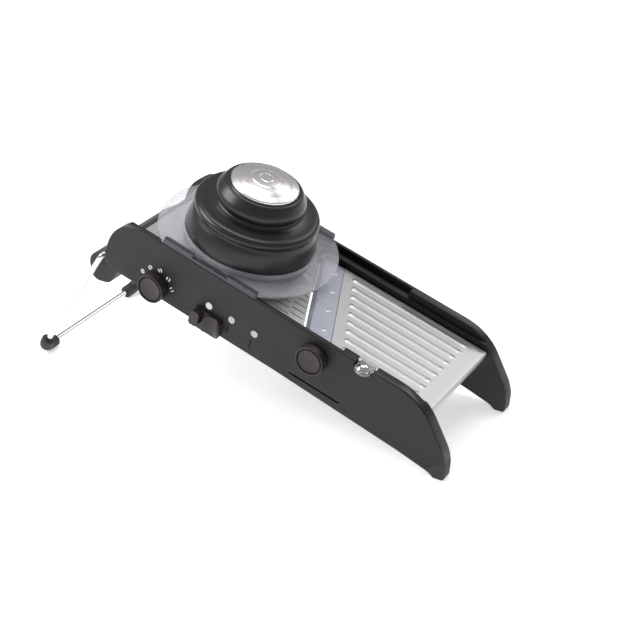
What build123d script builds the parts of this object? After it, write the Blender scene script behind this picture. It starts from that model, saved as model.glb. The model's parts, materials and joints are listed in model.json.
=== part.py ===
from build123d import *
import os
from math import atan, cos, radians, sin, sqrt, tan

# Mandoline slicer on a folding wire leg.
# Distances are millimetres.  Every place is given on the sloping body as (s, v, h):
#   s runs up the slope from the toe, v towards the side with the knobs, h square off the slope.
# The world frame has +X towards the low end, +Y away from the knobs and +Z up, and its origin
# is on the table in the middle of the footprint.

# ---- driving dimensions -------------------------------------------------------------------
slope = 17.45            # angle of the body above the table, degrees
body_width = 140.0       # over the two rails' outer faces
body_length = 378.0      # toe to rear end, along the slope
rail_height = 65.2       # top edge of the rails
rail_belly = 6.0         # bottom edge of the rails behind the foot
rail_thickness = 12.5    # outer face to inner face
skin = 1.8               # outer wall of a rail
rim = 2.2                # wall round the edge of a rail
liner_thickness = 1.6    # cover plate that closes a rail from inside
beam_depth = 10.2        # the solid beam along a rail's top
seat_gap = 0.15          # gap round a piece that is seated in another
slide_gap = 0.3          # gap between pieces that move past each other
run_gap = 0.06           # radial clearance of a shaft in its hole

deck_drop = 13.2         # top of the ribbed outlet deck below the rails' top edge
sheet = 1.2              # thickness of the pressed steel sheets
sheet_margin = 1.5       # gap between the deck and a rail's inner face
platform_drop = 2.0      # depth of the inlet platform below the outlet deck at rest
blade_slant = 0.46       # run up the slope for each millimetre across
blade_back = 165.5       # rear edge of the outlet deck on the middle line
blade_edge = 193.0       # cutting edge on the middle line
blade_thickness = 1.4
bevel_width = 4.0
rivet_line = 174.2
rivet_spacing = 26.6

leg_wire_r = 2.75
leg_pivot_s = 382.5
leg_pivot_h = 8.0
leg_inset = 7.0          # wire's arms in from the rails' outer faces
foot_splay = 7.5         # how far outside the rails the wire's corners stand
leg_foot_back = 436.0    # elbow's place behind the toe, level with the table
sleeve_r = 6.3

carriage_s = 270.0       # middle of the food carriage at rest
carriage_plate_r = 86.0
carriage_gap = 0.5       # underside of the carriage plate above the rails
carriage_plate_thickness = 2.3
feed_tube_r = 36.0       # inside of the feed tube
feed_tube_wall = 2.0
collar_r = 62.6          # inside of the collar round the hat

hat_skirt_r = 61.8
hat_tier_r = 58.9
hat_top_r = 42.0
cap_r = 31.9
cap_level = 130.8        # height of the cap's rim
hat_wall = 2.4

knob_r = 14.0
knob_reach = 10.0        # how far a knob stands off the rail
shaft_r = 3.0
rear_knob_s = 315.5
rear_knob_h = 18.0
front_knob_s = 145.8
front_knob_h = 44.8

stop_pitch = 25.3        # distance between the three settings of the thumb slider
slider_s = 255.0         # middle of the thumb slider at rest
comb_rise = 6.0
tooth_pitch = 8.0

comb_columns = (203.4, 219.4)      # middle of each column of teeth on the middle line
comb_bar_width = 6.2
pin_s = 347.0                      # pivot of the inlet platform
pin_r = 2.5
tie_spots = ((110, 38), (228, 21))
tie_r = 3.0
half_width = body_width / 2
inner_face = half_width - rail_thickness
deck_half = inner_face - sheet_margin
beam_bottom = rail_height - beam_depth
deck_level = rail_height - deck_drop
pin_h = deck_level - 10
carriage_level = rail_height + carriage_gap
flange_screw_h = deck_level - 5
deck_screw_spots = {
    1: ((60, flange_screw_h), (112, flange_screw_h)),
    -1: ((60, flange_screw_h), (112, flange_screw_h), (160, flange_screw_h)),
}
liner_inner = inner_face
liner_outer = inner_face + liner_thickness
skin_inner = half_width - skin
leg_pivot_v = half_width - leg_inset
leg_foot_v = half_width + foot_splay
front_reach = 4.5
middle_of_length = (leg_foot_back + sleeve_r + front_reach) / 2 - front_reach
knob_side_excess = max(0, half_width + knob_reach - leg_foot_v - sleeve_r) / 2

up_slope = Vector(-cos(radians(slope)), 0, sin(radians(slope)))
off_slope = Vector(sin(radians(slope)), 0, cos(radians(slope)))
toe = Vector(middle_of_length, knob_side_excess, 0)


def slanted(middle, v):
    """Distance up the slope of a line parallel to the blade, given its place on the middle line."""
    return middle - blade_slant * v


comb_lug_v = liner_outer + 1.5
comb_lug_spots = tuple(slanted(middle, comb_lug_v) for middle in comb_columns)
carrier_screw_spots = {1: (153.8, 46.4), -1: (200.0, 46.4)}


def spot(s, v, h):
    return toe + up_slope * s + Vector(0, -v, 0) + off_slope * h


def side_plane(v):
    """Sketch plane beside the body: x is s, y is h, and it faces away from the knobs."""
    return Plane(origin=spot(0, v, 0), x_dir=up_slope, z_dir=(0, 1, 0))


def deck_plane(h):
    """Sketch plane along the slope: x is s, y is v, and it faces up."""
    return Plane(origin=spot(0, 0, h), x_dir=up_slope, z_dir=off_slope)


def spin_plane(s, v, h):
    """Plane for a revolved piece on an axis square off the slope."""
    return Plane(origin=spot(s, v, h), x_dir=up_slope, z_dir=(0, 1, 0))


finished = {}


def keep(part, name):
    part.label = name
    finished[name] = part


# ---- rails --------------------------------------------------------------------------------
ground_run = tan(radians(slope))
rail_corners = (
    (-4.0, 4.0 * ground_run),
    (1.0, 22.8),
    (42.3, rail_height),
    (body_length - 6, rail_height),
    (body_length + 0.5, rail_belly - 0.2),
    (180, rail_belly),
    (46, rail_belly - 3),
    (12, rail_belly - 5.2),
    (6, -6 * ground_run),
)
rail_radii = (3, 40, 56, 36, 14, 300, 200, 15, 2)
foot_line = ((-12, 34.3), (22, -4.9))
foot_radius = 1.2
ledge_start = 124.0
ledge_level = rail_height - 7.2
ledge_wall = 4.3
top_wall = 9.5           # rail's top edge ahead of the ledge
boss_spots = ((40, 28), (88, 47), (120, 28), (216, 50), (244, 48), (280, 48), (332, 46))
boss_r = 3.4
pad_r = 4.0
screw_r = 1.5
screw_head_r = 2.8
slot_level = 14.0
slot_rear = 164.0
slot_front = slot_rear - 2 * stop_pitch - 3.6
slot_height = 1.8
notch_front = 89.5
notch_rear = 109.5
notch_level = rail_height - 5.6
leg_slot_front = 343.0
hook_slot_front = slider_s - 2 * stop_pitch - 8
hook_slot_rear = slider_s + 8
edge_round = 1.3


def rail_outline(inset=0.0):
    with BuildSketch() as outline:
        with BuildLine():
            FilletPolyline(*rail_corners, radius=rail_radii, close=True)
        make_face()
        if inset:
            offset(amount=-inset)
    return outline.sketch


def foot_region():
    """The part of a rail's outline that the rubber foot takes up."""
    with BuildSketch() as region:
        with BuildLine():
            Polyline(foot_line[0], foot_line[1], (22, -30), (-30, -30), (-30, 34.3), close=True)
        make_face()
    return region.sketch


def crown(radius, level, rise):
    """Arc from a rim in to the axis of a revolved piece, rising (or, below nought, dishing) by rise."""
    height = abs(rise)
    sphere_r = (radius ** 2 + height ** 2) / (2 * height)
    middle = height - sphere_r + sqrt(sphere_r ** 2 - (radius / 2) ** 2)
    sign = 1 if rise > 0 else -1
    return ThreePointArc((radius, level), (radius / 2, level + sign * middle), (0, level + rise))


def side_hole(s, h, radius, v, depth):
    """Cuts a round hole from the plane at v for a distance along the sketch plane's normal."""
    with BuildSketch(side_plane(v)) as hole:
        with Locations((s, h)):
            Circle(radius)
    extrude(hole.sketch, amount=depth, mode=Mode.SUBTRACT)


def side_box(s_range, h_range, v, depth, mode=Mode.SUBTRACT):
    """Adds or cuts a block between two heights and two distances up the slope."""
    s_low, s_high = s_range
    h_low, h_high = h_range
    with BuildSketch(side_plane(v)) as block:
        with Locations(((s_low + s_high) / 2, (h_low + h_high) / 2)):
            Rectangle(s_high - s_low, h_high - h_low)
    extrude(block.sketch, amount=depth, mode=mode)


def rail(side):
    """One moulded rail, hollow behind its skin; side is 1 by the knobs and -1 opposite."""
    outer = side * half_width
    with BuildPart() as shell:
        with BuildSketch(side_plane(outer)):
            add(rail_outline())
        extrude(amount=side * rail_thickness)
        outer_face = shell.faces().sort_by(Axis.Y)[0 if side > 0 else -1]
        inner_face_edges = shell.faces().sort_by(Axis.Y)[-1 if side > 0 else 0].edges()
        fillet(outer_face.edges(), edge_round)
        fillet(inner_face_edges, edge_round / 2)
        with BuildSketch(side_plane(side * skin_inner)):
            add(rail_outline(rim))
            with Locations((body_length / 2, beam_bottom + 40)):
                Rectangle(body_length * 2, 80, mode=Mode.SUBTRACT)
        extrude(amount=side * rail_thickness, mode=Mode.SUBTRACT)
        with BuildSketch(side_plane(side * (half_width - ledge_wall))):
            with Locations(((ledge_start + body_length + 20) / 2, ledge_level + 10)):
                Rectangle(body_length + 20 - ledge_start, 20)
        extrude(amount=side * rail_thickness, mode=Mode.SUBTRACT)
        # ahead of the ledge the top edge is thinner than the beam below it
        side_box((-10, ledge_start + 1), (ledge_level, rail_height + 5),
                 side * (half_width - top_wall), side * rail_thickness)
        for s, h in boss_spots:
            with BuildSketch(side_plane(side * skin_inner)):
                with Locations((s, h)):
                    Circle(boss_r)
                    Circle(screw_r, mode=Mode.SUBTRACT)
            extrude(amount=side * (skin_inner - liner_outer))
        # the leg's arm swings in a slot in the rear of the belly
        side_box((leg_slot_front, body_length + 10), (-5, leg_pivot_h + 4.2),
                 side * skin_inner, side * (skin_inner - inner_face + 1))
        with BuildSketch(side_plane(outer + side)):
            add(foot_region())
        extrude(amount=side * (rail_thickness + 2), mode=Mode.SUBTRACT)
        if side > 0:
            side_hole(rear_knob_s, rear_knob_h, shaft_r + run_gap, half_width + 1, rail_thickness)
            side_hole(front_knob_s, front_knob_h, shaft_r + run_gap, half_width + 1, rail_thickness)
            side_box((slot_front, slot_rear), (slot_level - slot_height / 2, slot_level + slot_height / 2),
                     half_width + 1, skin + 2)
            side_box((hook_slot_front, hook_slot_rear), (0, rail_belly + rim + 1), skin_inner - 1, 5.4)
            side_box((notch_front, notch_rear), (notch_level, rail_height + 5), half_width + 1,
                     rail_thickness + 2)
    return shell.part


def foot(side):
    """Rubber foot that caps the toe of a rail, with a plug up inside the hollow."""
    outer = side * half_width
    with BuildPart() as cap:
        with BuildSketch(side_plane(outer)):
            add(rail_outline())
        extrude(amount=side * rail_thickness)
        fillet(cap.faces().sort_by(Axis.Y)[0 if side > 0 else -1].edges(), foot_radius)
        fillet(cap.faces().sort_by(Axis.Y)[-1 if side > 0 else 0].edges(), foot_radius / 2)
        with BuildSketch(side_plane(outer + side)):
            add(foot_region())
        extrude(amount=side * (rail_thickness + 2), mode=Mode.INTERSECT)
    return cap.part


def liner(side):
    """Cover plate that closes a rail from inside and carries the sheets."""
    with BuildPart() as plate:
        with BuildSketch(side_plane(side * liner_outer)):
            add(rail_outline(rim + seat_gap))
            with Locations((body_length / 2, beam_bottom - seat_gap + 40)):
                Rectangle(body_length * 2, 80, mode=Mode.SUBTRACT)
            add(foot_region(), mode=Mode.SUBTRACT)
            with Locations((body_length, 0)):
                Rectangle(2 * (body_length - leg_slot_front), 2 * (leg_pivot_h + 4.4), mode=Mode.SUBTRACT)
        extrude(amount=side * liner_thickness)
        for s, h in boss_spots:
            side_hole(s, h, screw_r + 0.2, side * (liner_outer + 1), side * (liner_thickness + 2))
        for s, h in deck_screw_spots[side]:
            with BuildSketch(side_plane(side * liner_inner)):
                with Locations((s, h)):
                    Circle(pad_r)
            extrude(amount=side * (liner_inner - deck_half))
            side_hole(s, h, screw_r, side * (liner_outer + 1), side * (liner_thickness + 4))
        for s, h in tie_spots:
            side_hole(s, h, tie_r + seat_gap, side * (liner_outer + 1), side * (liner_thickness + 2))
        side_hole(*carrier_screw_spots[side], screw_r + 0.2, side * (liner_outer + 1),
                  side * (liner_thickness + 2))
        side_hole(pin_s, pin_h, pin_r + seat_gap, side * (liner_outer + 1), side * (liner_thickness + 2))
        side_hole(rear_knob_s, rear_knob_h, shaft_r + run_gap, side * (liner_outer + 1),
                  side * (liner_thickness + 2))
        if side > 0:
            side_hole(front_knob_s, front_knob_h, shaft_r + run_gap, liner_outer + 1, liner_thickness + 2)
            for middle in comb_lug_spots:
                side_box((middle - 5, middle + 5), (24, 52), liner_outer + 1, liner_thickness + 2)
    return plate.part


for side, name in ((1, "near"), (-1, "far")):
    keep(rail(side), f"{name}_rail")
    keep(foot(side), f"{name}_foot")
    keep(liner(side), f"{name}_liner")

# screws that hold the liners, all alike
with BuildPart() as liner_screws:
    for side in (1, -1):
        for s, h in boss_spots:
            with BuildSketch(side_plane(side * (liner_inner - 1.4))):
                with Locations((s, h)):
                    Circle(screw_head_r)
            extrude(amount=-side * 1.4)
            with BuildSketch(side_plane(side * liner_inner)):
                with Locations((s, h)):
                    Circle(screw_r - 0.05)
            extrude(amount=-side * 8)
keep(liner_screws.part, "liner_screws")


# ---- sheets, blade and what carries them ----------------------------------------------------
deck_front = 33.0
lip_depth = 7.0
flange_bottom = 44.0
rib_count = 9
rib_pitch = 11.8
rib_width = 7.4
rib_height = 1.1
rib_front = 49.5
rib_back = 154.7
rib_slant = 0.486
blade_bottom = deck_level - 0.6
carrier_bottom = 39.0
throat_front = 183.0     # rear face of the blade carrier on the middle line

with BuildPart() as outlet_deck:
    with BuildSketch(deck_plane(deck_level)):
        with BuildLine():
            Polyline(
                (deck_front, -deck_half),
                (slanted(blade_back - seat_gap, -deck_half), -deck_half),
                (slanted(blade_back - seat_gap, deck_half), deck_half),
                (deck_front, deck_half),
                close=True,
            )
        make_face()
    extrude(amount=-sheet)
    side_box((deck_front, deck_front + sheet), (deck_level - lip_depth, deck_level - 0.1),
             deck_half, 2 * deck_half, mode=Mode.ADD)
    for side in (1, -1):
        rear_end = slanted(blade_back - 8, side * deck_half)
        side_box((deck_front + 4, rear_end), (flange_bottom, deck_level - 0.1),
                 side * deck_half, side * sheet, mode=Mode.ADD)
    front_edges = outlet_deck.edges().filter_by(Axis.Y).sort_by(Axis.X)[-8:]
    fillet(front_edges.group_by(SortBy.LENGTH)[-1].sort_by(Axis.Z)[-1], 1.1)
    for number in range(rib_count):
        v = (number - (rib_count - 1) / 2) * rib_pitch
        rear_end = rib_back - rib_slant * v
        with BuildSketch(deck_plane(deck_level)):
            with Locations(((rib_front + rear_end) / 2, v)):
                SlotOverall(rear_end - rib_front, rib_width)
        extrude(amount=rib_height, taper=38)
    for side in (1, -1):
        for s, h in deck_screw_spots[side]:
            side_hole(s, h, screw_r, side * (deck_half + 1), side * (sheet + 2))
keep(outlet_deck.part, "outlet_deck")

# the bar that carries the blade lies slanted under it, with its ends against the liners
with BuildPart() as blade_carrier:
    reach = liner_inner - 0.1
    with BuildSketch(deck_plane(carrier_bottom)):
        with BuildLine():
            Polyline(
                (slanted(blade_back - 7, -reach), -reach),
                (slanted(throat_front, -reach), -reach),
                (slanted(throat_front, reach), reach),
                (slanted(blade_back - 7, reach), reach),
                close=True,
            )
        make_face()
    extrude(amount=deck_level - sheet - seat_gap - carrier_bottom)
    with BuildSketch(deck_plane(deck_level - sheet - seat_gap)):
        with BuildLine():
            Polyline(
                (slanted(blade_back + 0.4, -reach), -reach),
                (slanted(throat_front, -reach), -reach),
                (slanted(throat_front, reach), reach),
                (slanted(blade_back + 0.4, reach), reach),
                close=True,
            )
        make_face()
    extrude(amount=blade_bottom - deck_level + sheet + seat_gap)
    side_hole(front_knob_s, front_knob_h, shaft_r + run_gap, liner_inner + 1, 8)
    for side in (1, -1):
        side_hole(*carrier_screw_spots[side], screw_r, side * (liner_inner + 1), side * 8)
        # room for the side flanges of the deck
        side_box((slanted(blade_back - 30, side * deck_half), slanted(blade_back - 4, side * deck_half)),
                 (flange_bottom - seat_gap, deck_level),
                 side * (deck_half + 0.2), side * (sheet + 0.4))
    for number in range(4):
        v = (number - 1.5) * rivet_spacing
        with BuildSketch(deck_plane(blade_bottom + 1)):
            with Locations((slanted(rivet_line, v), v)):
                Circle(screw_r)
        extrude(amount=-8, mode=Mode.SUBTRACT)
keep(blade_carrier.part, "blade_carrier")

blade_angle = atan(blade_slant)
to_outlet = up_slope * -cos(blade_angle) + Vector(0, sin(blade_angle), 0)
blade_width = (blade_edge - blade_back - 0.5) * cos(blade_angle)
blade_half = inner_face - 3
clipped_corner = 9.0

with BuildPart() as slicing_blade:
    blade_section = Plane(
        origin=spot(blade_edge, 0, blade_bottom), x_dir=to_outlet, z_dir=to_outlet.cross(off_slope)
    )
    with BuildSketch(blade_section):
        with BuildLine():
            Polyline((0, 0), (0, 0.12), (bevel_width, blade_thickness), (blade_width, blade_thickness),
                     (blade_width, 0), close=True)
        make_face()
    extrude(amount=80, both=True)
    with BuildSketch(deck_plane(blade_bottom - 1)):
        with BuildLine():
            Polyline(
                (slanted(blade_edge + 5, blade_half), blade_half),
                (slanted(blade_back - 5, blade_half), blade_half),
                (slanted(blade_back - 5, -blade_half), -blade_half),
                (slanted(blade_edge - clipped_corner, -blade_half), -blade_half),
                (slanted(blade_edge, clipped_corner - blade_half), clipped_corner - blade_half),
                (slanted(blade_edge + 5, clipped_corner - blade_half), clipped_corner - blade_half),
                close=True,
            )
        make_face()
    extrude(amount=blade_thickness + 2, mode=Mode.INTERSECT)
    for number in range(4):
        v = (number - 1.5) * rivet_spacing
        with BuildSketch(deck_plane(blade_bottom - 1)):
            with Locations((slanted(rivet_line, v), v)):
                Circle(screw_r)
        extrude(amount=blade_thickness + 2, mode=Mode.SUBTRACT)
keep(slicing_blade.part, "slicing_blade")


def round_head(s, v, h, radius, height, shank_length):
    """A domed head with a shank below it, standing square on the slope."""
    with BuildSketch(spin_plane(s, v, h)) as profile:
        with BuildLine():
            head = crown(radius, 0, height)
            Polyline(head @ 1, (0, -shank_length), (screw_r - 0.03, -shank_length), (screw_r - 0.03, 0),
                     head @ 0)
        make_face()
    revolve(profile.sketch, axis=Axis(spot(s, v, h), off_slope))


with BuildPart() as blade_rivets:
    for number in range(4):
        v = (number - 1.5) * rivet_spacing
        round_head(slanted(rivet_line, v), v, blade_bottom + blade_thickness, 2.7, 0.8, 8)
keep(blade_rivets.part, "blade_rivets")

with BuildPart() as deck_screws:
    for side in (1, -1):
        for s, h in deck_screw_spots[side]:
            with BuildSketch(side_plane(side * (deck_half - sheet - 1.2))):
                with Locations((s, h)):
                    Circle(screw_head_r)
            extrude(amount=-side * 1.2)
            with BuildSketch(side_plane(side * (deck_half - sheet))):
                with Locations((s, h)):
                    Circle(screw_r - 0.03)
            extrude(amount=-side * 8)
keep(deck_screws.part, "deck_screws")

with BuildPart() as carrier_screws:
    for side in (1, -1):
        with BuildSketch(side_plane(side * liner_outer)):
            with Locations(carrier_screw_spots[side]):
                Circle(screw_head_r)
        extrude(amount=-side * 1.4)
        with BuildSketch(side_plane(side * liner_outer)):
            with Locations(carrier_screw_spots[side]):
                Circle(screw_r - 0.03)
        extrude(amount=side * 8)
keep(carrier_screws.part, "carrier_screws")

with BuildPart() as tie_rods:
    for s, h in tie_spots:
        with BuildSketch(side_plane(liner_outer + 1.5)):
            with Locations((s, h)):
                Circle(tie_r)
        extrude(amount=2 * (liner_outer + 1.5))
keep(tie_rods.part, "tie_rods")

# ---- inlet platform and the frame under it --------------------------------------------------
platform_top = deck_level - platform_drop
platform_front = blade_edge + 1.8
platform_rear = 353.0
platform_half = inner_face - 2
slot_length = 13.4
slot_width = 1.0
frame_top = platform_top - sheet
frame_half = inner_face - 4.5
frame_bottom = 40.0
frame_bar = 6.0          # width of the frame's side bars
guide_bottom = 38.0
bar_top = frame_top - comb_rise - slide_gap - 0.5
bar_height = 5.0
cam_r = 9.0
cam_throw = 0.9
cam_v = frame_half - 3
tooth_tops = platform_top - 2.2


def tooth_places(column):
    """Distances across at which one column of the combs has its teeth."""
    shift = 0 if column == 0 else tooth_pitch / 2
    return [shift + tooth_pitch * number for number in range(-6, 6 + (column == 0))]


with BuildPart() as inlet_platform:
    with BuildSketch(deck_plane(platform_top)):
        with BuildLine():
            Polyline(
                (slanted(platform_front, -platform_half), -platform_half),
                (platform_rear, -platform_half),
                (platform_rear, platform_half),
                (slanted(platform_front, platform_half), platform_half),
                close=True,
            )
        make_face()
    extrude(amount=-sheet)
    side_box((platform_rear - sheet, platform_rear), (platform_top - 9, platform_top - 0.1),
             platform_half, 2 * platform_half, mode=Mode.ADD)
    for side in (1, -1):
        side_box((slanted(226, side * platform_half) + 3, pin_s - 5),
                 (platform_top - 6, platform_top - 0.1), side * platform_half, side * sheet, mode=Mode.ADD)
    rear_edge = inlet_platform.edges().filter_by(Axis.Y).group_by(SortBy.LENGTH)[-1]
    fillet(rear_edge.sort_by(Axis.Z)[-1], 1.1)
    for column, middle in enumerate(comb_columns):
        for v in tooth_places(column):
            with BuildSketch(deck_plane(platform_top + 1)):
                with Locations((slanted(middle, v), v)):
                    SlotOverall(slot_length, slot_width)
            extrude(amount=-sheet - 2, mode=Mode.SUBTRACT)
keep(inlet_platform.part, "inlet_platform")


def slanted_strip(front, rear, v_low, v_high, bottom, top, mode=Mode.ADD):
    """A block parallel to the blade between two heights."""
    with BuildSketch(deck_plane(bottom)) as strip:
        with BuildLine():
            Polyline(
                (slanted(front, v_low), v_low),
                (slanted(rear, v_low), v_low),
                (slanted(rear, v_high), v_high),
                (slanted(front, v_high), v_high),
                close=True,
            )
        make_face()
    extrude(strip.sketch, amount=top - bottom, mode=mode)


guide_gap = comb_bar_width / 2 + slide_gap
guide_front = platform_front + 3.4
guide_rear = comb_columns[1] + guide_gap + 4

with BuildPart() as platform_frame:
    slanted_strip(guide_front, guide_rear, -frame_half, frame_half, guide_bottom, frame_top)
    for side in (1, -1):
        front_end = min(slanted(guide_rear - 2, side * v) for v in (frame_half, frame_half - frame_bar))
        side_box((front_end, platform_rear - 3), (frame_bottom, frame_top),
                 side * frame_half, side * frame_bar, mode=Mode.ADD)
        side_box((rear_knob_s - 4, rear_knob_s + 4), (rear_knob_h + cam_r + 1.5, frame_bottom + 1),
                 side * frame_half, side * frame_bar, mode=Mode.ADD)
    side_box((pin_s - 5, platform_rear - 3), (pin_h - 5, frame_top), frame_half, 2 * frame_half,
             mode=Mode.ADD)
    for s in (264, 300):
        side_box((s - 1.5, s + 1.5), (frame_bottom + 2, frame_top), frame_half, 2 * frame_half,
                 mode=Mode.ADD)
    for middle in comb_columns:
        slanted_strip(middle - guide_gap, middle + guide_gap, -frame_half + 3, frame_half + 1,
                      guide_bottom - 1, frame_top + 1, mode=Mode.SUBTRACT)
    side_hole(pin_s, pin_h, pin_r + run_gap, frame_half + 1, 2 * frame_half + 2)
keep(platform_frame.part, "platform_frame")

with BuildPart() as platform_pin:
    with BuildSketch(side_plane(liner_outer + 1.5)):
        with Locations((pin_s, pin_h)):
            Circle(pin_r)
    extrude(amount=2 * (liner_outer + 1.5))
keep(platform_pin.part, "platform_pin")

for column, name in enumerate(("fine", "coarse")):
    middle = comb_columns[column]
    half_bar = comb_bar_width / 2
    with BuildPart() as comb_bar:
        slanted_strip(middle - half_bar, middle + half_bar, -frame_half + 3.4, liner_outer + 1.4,
                      bar_top - bar_height, bar_top)
    keep(comb_bar.part, f"{name}_comb_bar")
    with BuildPart() as comb_teeth:
        for v in tooth_places(column):
            with BuildSketch(deck_plane(bar_top)):
                with Locations((slanted(middle, v), v)):
                    Rectangle(5.0, 0.6)
            extrude(amount=tooth_tops - bar_top)
    keep(comb_teeth.part, f"{name}_comb_teeth")


# ---- knobs, cams and the thumb slider -------------------------------------------------------
knob_gap = 0.3
knob_base_r = 12.4
knob_land = 1.5
knob_groove = 1.1
knob_groove_depth = 1.4
knob_dish = 1.3
outward = (0, -1, 0)


def knob_plane(s, h):
    """Plane through a knob's axis: x is the radius and y the distance off the rail's face."""
    return Plane(origin=spot(s, half_width, h), x_dir=up_slope, z_dir=off_slope)


def knob(s, h):
    """Round knob with a land round its face and a recess that holds the face disc."""
    face_r = knob_r - knob_land - knob_groove
    with BuildPart() as turned:
        with BuildSketch(knob_plane(s, h)):
            with BuildLine():
                FilletPolyline(
                    (shaft_r + 0.02, knob_gap),
                    (knob_base_r, knob_gap),
                    (knob_r, 3.0),
                    (knob_r, knob_reach),
                    (knob_r - knob_land, knob_reach),
                    (knob_r - knob_land - 0.1, knob_reach - knob_groove_depth - 0.8),
                    (shaft_r + 0.02, knob_reach - knob_groove_depth - 0.8),
                    radius=(0.5, 1.5, 0.7, 0.4, 0),
                )
                Line((shaft_r + 0.02, knob_reach - knob_groove_depth - 0.8), (shaft_r + 0.02, knob_gap))
            make_face()
        revolve(axis=Axis(spot(s, half_width, h), outward))
    with BuildPart() as disc:
        floor = knob_reach - knob_groove_depth - 0.8
        with BuildSketch(knob_plane(s, h)):
            with BuildLine():
                Line((0, floor), (face_r, floor))
                Line((face_r, floor), (face_r, knob_reach - 0.9))
                ThreePointArc((face_r, knob_reach - 0.9), (face_r - 0.6, knob_reach - 0.2),
                              (face_r - 1.2, knob_reach - 0.3))
                crown(face_r - 1.2, knob_reach - 0.3, 0.3 - knob_dish)
                Line((0, knob_reach - knob_dish), (0, floor))
            make_face()
        revolve(axis=Axis(spot(s, half_width, h), outward))
    return turned.part, disc.part


def rod(s, h, radius, v_outer, v_inner):
    """A round bar across the body between two distances from the middle."""
    with BuildSketch(side_plane(v_outer)) as section:
        with Locations((s, h)):
            Circle(radius)
    extrude(section.sketch, amount=v_outer - v_inner)


for name, s, h in (("rear", rear_knob_s, rear_knob_h), ("front", front_knob_s, front_knob_h)):
    turned, disc = knob(s, h)
    keep(turned, f"{name}_knob")
    keep(disc, f"{name}_knob_face")

knob_bore_end = half_width + knob_reach - knob_groove_depth - 0.8

with BuildPart() as lift_shaft:
    rod(rear_knob_s, rear_knob_h, shaft_r, knob_bore_end, -liner_outer - 1.5)
keep(lift_shaft.part, "lift_shaft")

with BuildPart() as lift_cams:
    for v in (cam_v + 2.5, -cam_v + 2.5):
        rod(rear_knob_s, rear_knob_h + cam_throw, cam_r, v, v - 5)
    side_hole(rear_knob_s, rear_knob_h, shaft_r + 0.02, cam_v + 4, 2 * cam_v + 8)
keep(lift_cams.part, "lift_cams")

with BuildPart() as lock_shaft:
    rod(front_knob_s, front_knob_h, shaft_r, knob_bore_end, liner_inner - 6.5)
keep(lock_shaft.part, "lock_shaft")

lock_cam_r = 6.0
with BuildPart() as lock_cam:
    rod(front_knob_s, front_knob_h, lock_cam_r, skin_inner - 2.5, liner_outer + 2.5)
    side_hole(front_knob_s, front_knob_h, shaft_r + 0.02, half_width, rail_thickness)
    side_box((front_knob_s - 10, front_knob_s + 10), (front_knob_h + 4.4, front_knob_h + 10),
             half_width, rail_thickness)
keep(lock_cam.part, "lock_cam")

slider_half = 16.0
slider_base_v = half_width + slide_gap
slider_plate = 2.6
slider_low = 3.3
slider_high = 24.5
hook_top = rail_belly - slide_gap
post_high = 12.0

with BuildPart() as thumb_slider:
    with BuildSketch(side_plane(slider_base_v + slider_plate)):
        with Locations((slider_s, (slider_low + slider_high) / 2)):
            RectangleRounded(2 * slider_half, slider_high - slider_low, 4)
    extrude(amount=slider_plate)
    # finger tab at the upper end
    with BuildSketch(side_plane(half_width + 10.5)):
        with Locations((slider_s + 9.5, 17.0)):
            RectangleRounded(9.5, 15.5, 3.2)
    extrude(amount=8.4)
    # thumb scoop at the lower end
    with BuildSketch(side_plane(half_width + 8.2)):
        with Locations((slider_s - 7.5, 15.0)):
            RectangleRounded(16.5, 18.5, 4)
    extrude(amount=6.0)
    with BuildSketch(deck_plane(-2)):
        with Locations((slider_s - 8.0, half_width + 13.6)):
            Circle(9.6)
    extrude(amount=40, mode=Mode.SUBTRACT)
    side_box((slider_s - 6, slider_s + 6), (slider_low, hook_top), slider_base_v + 1, 8.2, mode=Mode.ADD)
    side_box((slider_s - 6, slider_s + 6), (slider_low, post_high), skin_inner - 2, 3.4, mode=Mode.ADD)
keep(thumb_slider.part, "thumb_slider")

bar_front = slot_rear - 6
bar_level = post_high
bar_v = skin_inner - 1.6
with BuildPart() as selector_bar:
    side_box((bar_front, slider_s + 9), (bar_level, bar_level + 7), bar_v, 4.2, mode=Mode.ADD)
    with BuildSketch(side_plane(bar_v)):
        with BuildLine():
            Polyline((174, bar_level + 6.9), (174, 27), (228, 27 + comb_rise), (228, bar_level + 6.9),
                     close=True)
        make_face()
    extrude(amount=4.2)
    side_box((slot_rear - 2.8, slot_rear - 0.8), (slot_level - 0.6, slot_level + 0.6), skin_inner + 1.2,
             3.2, mode=Mode.ADD)
keep(selector_bar.part, "selector_bar")

# ---- markings, each a thin skin on the rail by the knobs -------------------------------------
panel_v = half_width
mark_proud = 0.15
knob_mark_ring = 17.8
knob_mark_angles = (20, 56, 92, 128, 162)
knob_mark_r = 2.3
slider_mark_r = 3.5
slider_mark_h = 30.5
slider_mark_shift = 2.6


def mark_disc(s, h, radius):
    """A round mark on the panel by the knobs."""
    with BuildSketch(side_plane(panel_v + mark_proud)) as face:
        with Locations((s, h)):
            Circle(radius)
    extrude(face.sketch, amount=mark_proud)


def mark_gap(s, h, width, height, turn=0):
    """Cuts a straight gap across a mark."""
    with BuildSketch(side_plane(panel_v + 1)) as gap:
        with Locations(Location((s, h, 0), (0, 0, turn))):
            Rectangle(width, height)
    extrude(gap.sketch, amount=2, mode=Mode.SUBTRACT)


with BuildPart() as knob_marks:
    for number, angle in enumerate(knob_mark_angles):
        s = rear_knob_s + knob_mark_ring * cos(radians(angle))
        h = rear_knob_h + knob_mark_ring * sin(radians(angle))
        mark_disc(s, h, knob_mark_r)
        mark_gap(s, h, 0.7 + 0.35 * number, 8, angle + 60)
keep(knob_marks.part, "knob_marks")

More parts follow.
